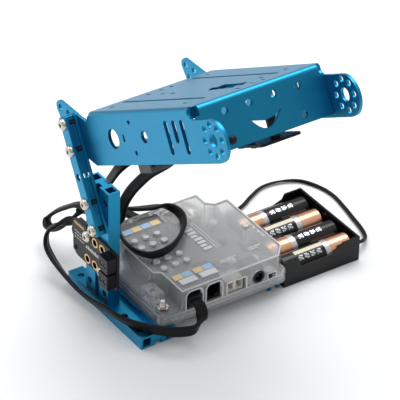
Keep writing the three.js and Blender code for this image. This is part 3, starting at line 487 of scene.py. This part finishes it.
for i, (step, length) in enumerate(((-64, 14), (-48, 10), (-16, 14), (0, 14))):
    button_screw(f"strut_screw_{i + 1}", leaning(0, -8, step), length)
button_screw("sensor_screw_1", at(24, -1.6, 48), 9)
button_screw("sensor_screw_2", at(40, -1.6, 32), 9)
for node in ("head_nut_1", "head_nut_2", "case_nut_1", "case_nut_2", "post_screw_1", "post_screw_2"):
    finished(node, STEEL, 0.25)
for node in ("case_screw_1", "case_screw_2"):
    low, high = spot(node)
    middle = (low + high) / 2
    bm = bmesh.new()
    turned(bm, [(0, 0), (CASE_HEAD_R - 0.15, 0), (CASE_HEAD_R, 0.3), (CASE_HEAD_R, CASE_HEAD_H - 0.2),
                (CASE_HEAD_R - 0.25, CASE_HEAD_H), (0, CASE_HEAD_H)],
           at(middle.x, middle.y, low.z), (0, 0, 1), 32)
    tool = bmesh.new()
    turned(tool, [(1.2, -1), (1.2, 1.3)], at(middle.x, middle.y, low.z), (0, 0, 1), 6)
    bm = minus(bm, tool)
    turned(bm, thread(high.z - low.z - CASE_HEAD_H, CASE_HEAD_H), at(middle.x, middle.y, low.z),
           (0, 0, 1), 32)
    piece(f"{node}_finished", bm, STEEL, "frame", node, 30)

# ---------------------------------------------------------------- controller
FRONT_WALL = 78                          # outer faces of the clear cover
REAR_WALL = -1
FAR_WALL = 105.3
RIM_LIFT = 0.02                          # how far a rim stands off the wall behind it
FRONT_JACKS = (38, 52)                   # middles of the cable windows
REAR_JACKS = (41, 55)
ARCH_HALF = 5.5                          # half width, foot, top and corner radius of an arched window
ARCH_FOOT = 14.7
ARCH_TOP = 27.2
ARCH_R = 3.4
SQUARE_R = 0.4
LEG_PITCH = 1.27
BOARD_THICK = 1.65
KEY_RISE = 0.12
KEY_LONG = 6.2
BEAD_SIDES = 10
BEAD_SINK = 0.35                         # how deep the middle of an edge bead (a painted highlight line) lies in the cover

finished("case_bottom", CLEAR, 0.35)
finished("case_top", CLEAR, 0.35)
finished("controller_board", CASE_BOARD, 0.15)
for node in ("jack_1", "jack_2", "jack_3", "jack_4", "sensor_jack", "light_jack", "power_inlet"):
    finished(node, BLACK, 0.25)
finished("aux_jack", GREY, 0.3)
for node in ("motor_socket", "battery_socket"):
    finished(node, WHITE, 0.2)
for node in ("usb_socket", "switch_body"):
    finished(node, STEEL, 0.25)
finished("switch_slider", BLACK, 0.25, "switch")
finished("push_button", FROST_AND_HIGHLIGHT, 0.25, "button")


def tiles(name, boxes, mat, put=at, width=0.05):
    """Several small raised tiles in one piece; each box is (low corner, high corner)."""
    bm = bmesh.new()
    for low, high in boxes:
        block(bm, low, high, width, put)
    return piece(name, bm, mat)


def board_parts():
    """Chips with their legs, and capacitors, on the controller board."""
    top = spot("controller_board")[0].z + BOARD_THICK
    bm = bmesh.new()
    for x0, y0, x1, y1, h in ((24, 40, 34, 50, 1.6), (48, 62, 54, 72, 1.5), (20, 76, 27, 84, 1.4),
                              (50, 82, 57, 87, 2.0), (30, 88, 35, 92, 1.2)):
        block(bm, (x0, y0, top), (x1, y1, top + h), 0.2)
    piece("board_chips", bm, BLACK)
    bm = bmesh.new()
    for x0, y0, x1, y1 in ((24, 40, 34, 50), (48, 62, 54, 72), (20, 76, 27, 84)):
        for k in range(int((y1 - y0) / LEG_PITCH)):
            y = y0 + 0.6 + LEG_PITCH * k
            block(bm, (x0 - 1, y - 0.2, top), (x0, y + 0.2, top + 0.5), 0.05)
            block(bm, (x1, y - 0.2, top), (x1 + 1, y + 0.2, top + 0.5), 0.05)
    piece("chip_legs", bm, STEEL)
    bm = bmesh.new()
    for x, y, r, h in ((58, 78, 3.1, 7), (62, 92, 2.5, 6), (18, 92, 2.5, 6), (40, 54, 2.0, 5)):
        turned(bm, [(0, 0), (r - 0.3, 0), (r, 0.3), (r, 1.0), (r - 0.2, 1.3), (r, 1.6), (r, h - 0.3),
                    (r - 0.4, h), (0, h)], at(x, y, top), (0, 0, 1), 28)
    piece("board_capacitors", bm, SILVER)


board_parts()

# colour keys by the cable ports, and raised bars on the cover in place of its lettering
KEY = ROOF + 0.02


def keys(x0, x1, starts, long=KEY_LONG):
    """Printed colour keys on the cover, from x0 to x1 and starting at each given y."""
    return [((x0, y, KEY), (x1, y + long, KEY + KEY_RISE)) for y in starts]


tiles("port_keys_amber", keys(62.6, 67.4, (31.8, 46)) + keys(8.6, 13.2, (37.9, 51.2)), AMBER)
tiles("port_keys_sky", keys(62.6, 67.4, (38.4, 52.6)) + keys(8.6, 13.2, (31.4, 44.6)), SKY)
tiles("port_keys_pale", keys(68, 73, (33, 47.2), 11.4), PALE)
bars = [((24 + 3.5 * k, 63.6, ROOF), (26.4 + 3.5 * k, 63.6 + (5.6 if k % 3 else 4.2), ROOF + 0.35))
        for k in range(8)]
bars += [((23, 71 + 1.7 * k, ROOF), (53, 71.5 + 1.7 * k, ROOF + 0.3)) for k in range(2)]
bars += [((x, y, ROOF), (x + 0.7, y + span, ROOF + 0.3)) for x, y, span in
         ((64.5, 64, 12), (66.2, 64, 9), (62.4, 86, 9), (64.2, 86, 6))]
bars += [((36 + 4.6 * k, 101.2, ROOF), (39.4 + 4.6 * k, 102, ROOF + 0.3)) for k in range(5)]
tiles("cover_bars", bars, FROST_AND_HIGHLIGHT, width=0.1)


def knob_highlight_rims():
    """Painted highlight: the bright rounded rim and dimple on top of each small knob, in a whiter material
    standing in for the light the clear knobs catch.
    """
    bm = bmesh.new()
    for x in (22, 30, 46, 54):
        for y in (32.5, 40.5, 48.5):
            turned(bm, [(0, 0.05), (0.9, 0.05), (1.25, 0.35), (1.6, 0.42), (1.95, 0.3), (2.15, -0.1),
                        (2.3, -0.8), (0, -0.8)], at(x, y, ROOF + KNOB_H), (0, 0, 1), 28)
    piece("knob_highlight_rims", bm, FROST_AND_HIGHLIGHT)


def arch(bm, x, low, high, radius, band, depth):
    """An arched or square frame standing on a wall that faces +x or -x; corners are (y, z)."""
    def outline(grow):
        y0, z0, y1, z1 = low[0] - grow, low[1], high[0] + grow, high[1] + grow
        r = max(radius + grow, 0.3)
        points = [(y0, z0)]
        for k in range(7):
            t = math.pi - math.pi / 2 * k / 6
            points.append((y0 + r + r * math.cos(t), z1 - r + r * math.sin(t)))
        for k in range(7):
            t = math.pi / 2 - math.pi / 2 * k / 6
            points.append((y1 - r + r * math.cos(t), z1 - r + r * math.sin(t)))
        return points + [(y1, z0)]

    loops = []
    for grow, out in ((0, 0), (0, depth), (band, depth), (band, 0)):
        loops.append([bm.verts.new(at(x + out, y, z)) for y, z in outline(grow)])
    for a, b in zip(loops, loops[1:] + loops[:1]):
        for k in range(len(a) - 1):
            bm.faces.new((a[k], a[k + 1], b[k + 1], b[k]))
    bm.faces.new([loop[0] for loop in loops])
    bm.faces.new([loop[-1] for loop in loops][::-1])


def window_rims():
    """Raised rims round the windows in the front and rear walls of the cover."""
    bm = bmesh.new()
    front = FRONT_WALL + RIM_LIFT
    rear = REAR_WALL - RIM_LIFT
    for y in FRONT_JACKS:
        arch(bm, front, (y - ARCH_HALF, ARCH_FOOT), (y + ARCH_HALF, ARCH_TOP), ARCH_R, 0.8, 0.7)
    arch(bm, front, (61.4, ARCH_FOOT), (74.6, 22.8), SQUARE_R, 0.9, 0.6)
    arch(bm, front, (90.7, 15.1), (96.1, 18.6), SQUARE_R, 0.8, 0.6)
    for y in REAR_JACKS:
        arch(bm, rear, (y - ARCH_HALF, ARCH_FOOT), (y + ARCH_HALF, ARCH_TOP), ARCH_R, 1.1, -0.7)
    arch(bm, rear, (65.9, ARCH_FOOT), (78.5, 25.4), SQUARE_R, 0.8, -0.6)
    bmesh.ops.recalc_face_normals(bm, faces=bm.faces)
    soften(bm, 0.18, 50, 2)
    piece("window_rims", bm, FROST_AND_HIGHLIGHT)


def edge_highlight_beads():
    """Painted highlight: a whiter rounded bead along the upper edge of the cover and along the joint
    between its two halves, standing in for the bright edges of the clear plastic.
    """
    upper = [(22, 25.3), (53, 25.3), (56, 29.5), (FRONT_WALL, 29.5), (FRONT_WALL, 98), (70, FAR_WALL),
             (13, FAR_WALL), (13, 96), (9, 92), (REAR_WALL, 92), (REAR_WALL, 33), (0.5, 27.5), (11, 25.3)]
    lower = [(3, 15.5), (74, 15.5), (FRONT_WALL, 19.5), (FRONT_WALL, 101.3), (74, FAR_WALL),
             (3, FAR_WALL), (REAR_WALL, 101.3), (REAR_WALL, 19.5)]
    bm = bmesh.new()
    for outline, z, radius in ((upper, ROOF - BEAD_SINK, 0.5), (lower, SEAM, 0.42)):
        loops = []
        count = len(outline)
        for k in range(count):
            here = Vector(outline[k])
            before = (here - Vector(outline[k - 1])).normalized()
            after = (Vector(outline[(k + 1) % count]) - here).normalized()
            out = Vector((before.y + after.y, -before.x - after.x)).normalized()
            reach = 1 / max(0.6, out.dot(Vector((before.y, -before.x))))
            ring_points = []
            for step in range(BEAD_SIDES):
                t = math.pi * 2 * step / BEAD_SIDES
                aside = radius * math.cos(t) - BEAD_SINK
                ring_points.append(bm.verts.new(at(here.x + out.x * reach * aside,
                                                   here.y + out.y * reach * aside,
                                                   z + radius * math.sin(t))))
            loops.append(ring_points)
        for a, b in zip(loops, loops[1:] + loops[:1]):
            for k in range(BEAD_SIDES):
                m = (k + 1) % BEAD_SIDES
                bm.faces.new((a[k], a[m], b[m], b[k]))
    piece("edge_highlight_beads", bm, FROST_AND_HIGHLIGHT)


knob_highlight_rims()
window_rims()
edge_highlight_beads()


# ---------------------------------------------------------------- sensor board
finished("sensor_board", BOARD, 0.12)
for node in ("infrared_block_1", "infrared_block_2"):
    finished(node, GLOSS_BLACK, 0.3)


def ring(bm, base, axis, inner, outer, height, segments=36):
    """A flat ring, such as the plating round a hole."""
    axis = Vector(axis)
    side = axis.orthogonal().normalized()
    other = axis.cross(side)
    loops = []
    for radius, h in ((inner, 0), (outer, 0), (outer, height), (inner, height)):
        loops.append([bm.verts.new(
            base + (axis * h + (side * math.cos(t) + other * math.sin(t)) * radius) * MM)
            for t in (2 * math.pi * k / segments for k in range(segments))])
    for a, b in zip(loops, loops[1:] + loops[:1]):
        for k in range(segments):
            m = (k + 1) % segments
            bm.faces.new((a[k], a[m], b[m], b[k]))


SENSOR_FACE = -1.6                       # outer face of the sensor board, and the screws' seat


def sensor_details():
    """Plated holes, printed marks, lenses and the small round part on the sensor board."""
    face = SENSOR_FACE
    bm = bmesh.new()
    for x, z in ((32, 48), (40, 48), (24, 32), (32, 32)):
        ring(bm, at(x, face, z), (0, -1, 0), 2.15, 3.1, 0.12)
    for k in range(5):
        ring(bm, at(10.4 + 2.1 * k, face, 50.6), (0, -1, 0), 0.5, 0.95, 0.1, 20)
    piece("sensor_pads", bm, GOLD)
    marks = [((22.4 + 1.9 * k, face - 0.1, 39), (23.8 + 1.9 * k, face, 41 + 0.5 * (k % 2)))
             for k in range(9)]
    marks += [((10 + 2.6 * (k % 4), face - 0.1, 44.6 - 2.2 * (k // 4)),
               (11.9 + 2.6 * (k % 4), face, 45.3 - 2.2 * (k // 4))) for k in range(12)]
    tiles("sensor_print", marks, SILK)
    bm = bmesh.new()
    for z in (35.1, 46.5):
        for x in (49, 53):
            turned(bm, [(0, -0.6), (1.4, -0.6), (1.4, 0.2), (1.1, 0.6), (0.6, 0.85), (0, 0.9)],
                   at(x, -7.2, z), (0, -1, 0), 28)
    piece("infrared_lenses", bm, LENS)
    bm = bmesh.new()
    turned(bm, [(0, 0), (1.5, 0), (1.5, 0.5), (1.2, 0.8), (0, 0.8)], at(10.6, face, 32.6), (0, -1, 0), 28)
    piece("sensor_dot", bm, BLACK)


sensor_details()

# ---------------------------------------------------------------- boards under the head
finished("light_board", BOARD, 0.12)
finished("aux_board", BOARD, 0.12)
for node in ("light_stud", "aux_stud"):
    finished(node, DARK_STEEL, 0.2)


LIGHT_UNDER = -32.2                      # underside of the light blocks, down from the strut screw


def light_details():
    """The four domes under the light board."""
    under = LIGHT_UNDER
    bm = bmesh.new()
    for s, y in ((98, 48), (98, 60), (112, 48), (112, 60)):
        turned(bm, [(0, -0.2), (1.7, -0.2), (1.7, 0), (1.4, 0.25), (0.8, 0.45), (0, 0.5)],
               leaning(s, y, under), leaning(0, 0, -1) - leaning(0, 0, 0), 28)
    piece("light_lenses", bm, WHITE)


light_details()


# ---------------------------------------------------------------- battery tray
finished("battery_tray", GLOSS_BLACK, 0.3)
for node in ("contact_bridge_1", "contact_bridge_2"):
    finished(node, STEEL, 0.06)
COPPER_L = 16.5                          # length of a cell's copper sleeve and of its silver band
BAND_L = 3.4
PRINT_RINGS = 17
PRINT_STEP = 1.1
CELL_SEGMENTS = 72
COPPER_PART, SILVER_PART, BLACK_PART, CREAM_PART, END_PART = range(5)


def cell(index):
    """A cell with a copper sleeve, silver band and black sleeve; two of the four have a stripe."""
    node = f"cell_{index}"
    low, high = spot(node)
    r = (high.x - low.x) / 2 + 0.08
    near = index % 2 == 1
    base = at((low.x + high.x) / 2, low.y if near else high.y, (low.z + high.z) / 2)
    long = high.y - low.y
    sleeve = COPPER_L + BAND_L
    print_rings = [sleeve + 3 + PRINT_STEP * k for k in range(PRINT_RINGS)]
    profile = [(0, 0), (2.3, 0), (2.7, 0.3), (2.7, 1.0), (r - 1.2, 1.05), (r - 0.5, 1.25),
               (r - 0.1, 1.7), (r, 2.3), (r, COPPER_L), (r, sleeve)]
    first_print = len(profile)
    profile += [(r, height) for height in print_rings]
    profile += [(r, long - 1.6), (r - 0.15, long - 0.8), (r - 0.6, long - 0.35), (r - 1.3, long - 0.25),
                (r - 1.6, long - 0.5), (0, long - 0.5)]
    cap_faces = 3
    band_face = first_print - 2
    last_print = first_print + PRINT_RINGS - 1

    def mat(i, k, segments):
        if i >= len(profile) - cap_faces or i < cap_faces:
            return END_PART
        if i < band_face:
            return COPPER_PART
        if i == band_face:
            return SILVER_PART
        if not near and k in stripe and i < last_print:
            return CREAM_PART
        if first_print <= i < last_print and k in words and (i - first_print) % 4 != 3:
            return SILVER_PART if (i * 5 + k) % 3 else BLACK_PART
        return BLACK_PART

    segments = CELL_SEGMENTS
    axis = Vector((0, 1 if near else -1, 0))
    side = axis.orthogonal().normalized()
    other = axis.cross(side)
    stripe = []
    words = []
    words_from, words_to = (4, 30) if near else (26, 48)
    for k in range(segments):
        t = 2 * math.pi * (k + 0.5) / segments
        way = side * math.cos(t) + other * math.sin(t)
        angle = math.degrees(math.atan2(way.x, way.z))
        if -8 < angle < 14:
            stripe.append(k)
        if words_from < angle < words_to:
            words.append(k)
    bm = bmesh.new()
    turned(bm, profile, base, axis, segments, mat)
    piece(f"{node}_finished", bm, [COPPER, SILVER, SLEEVE, CREAM, STEEL], node, node, 30)


for index in (1, 2, 3, 4):
    cell(index)


# ---------------------------------------------------------------- small trim on the head
def rivet():
    """The black rivet on the front of the head."""
    bm = bmesh.new()
    front = leaning(137, 20.4, -20)
    turned(bm, [(0, -0.1), (2.4, -0.1), (2.5, 0.6), (2.1, 1.3), (1.2, 1.8), (0, 2.0)], front,
           leaning(1, 0, 0) - leaning(0, 0, 0), 36)
    piece("front_rivet", bm, BLACK)


rivet()


# ---------------------------------------------------------------- floor and light
def stage():
    """The white floor the object stands on."""
    mesh = bpy.data.meshes.new("floor")
    bm = bmesh.new()
    bmesh.ops.create_grid(bm, x_segments=1, y_segments=1, size=6)
    bm.to_mesh(mesh)
    bm.free()
    mesh.materials.append(PAPER)
    floor = bpy.data.objects.new("floor", mesh)
    floor.location.z = -0.0002
    bpy.context.scene.collection.objects.link(floor)


def softbox(name, place, target, size, power):
    """A square area light at a place, aimed at the target."""
    data = bpy.data.lights.new(name, "AREA")
    data.size = size
    data.energy = power
    light = bpy.data.objects.new(name, data)
    light.location = place
    light.rotation_mode = "QUATERNION"
    light.rotation_quaternion = (Vector(target) - Vector(place)).to_track_quat("-Z", "Y")
    bpy.context.scene.collection.objects.link(light)


def sky():
    """Studio surroundings: grey below, white above."""
    world = bpy.data.worlds.new("studio")
    world.use_nodes = True
    nodes, links = world.node_tree.nodes, world.node_tree.links
    where = nodes.new("ShaderNodeTexCoord")
    split = nodes.new("ShaderNodeSeparateXYZ")
    ramp = nodes.new("ShaderNodeValToRGB")
    ramp.color_ramp.elements[0].position = 0.0
    ramp.color_ramp.elements[0].color = (0.30, 0.31, 0.33, 1)
    ramp.color_ramp.elements[1].position = 0.75
    ramp.color_ramp.elements[1].color = (1, 1, 1, 1)
    links.new(where.outputs["Generated"], split.inputs["Vector"])
    links.new(split.outputs["Z"], ramp.inputs["Fac"])
    links.new(ramp.outputs["Color"], nodes["Background"].inputs["Color"])
    nodes["Background"].inputs["Strength"].default_value = 0.75
    bpy.context.scene.world = world


stage()
sky()
middle = (0, 0, 0.08)
softbox("overhead", (-0.35, 0.35, 1.3), middle, 1.1, 14)
softbox("left_fill", (-0.9, -0.9, 0.7), middle, 0.9, 5)
bpy.context.scene.view_settings.view_transform = "Standard"
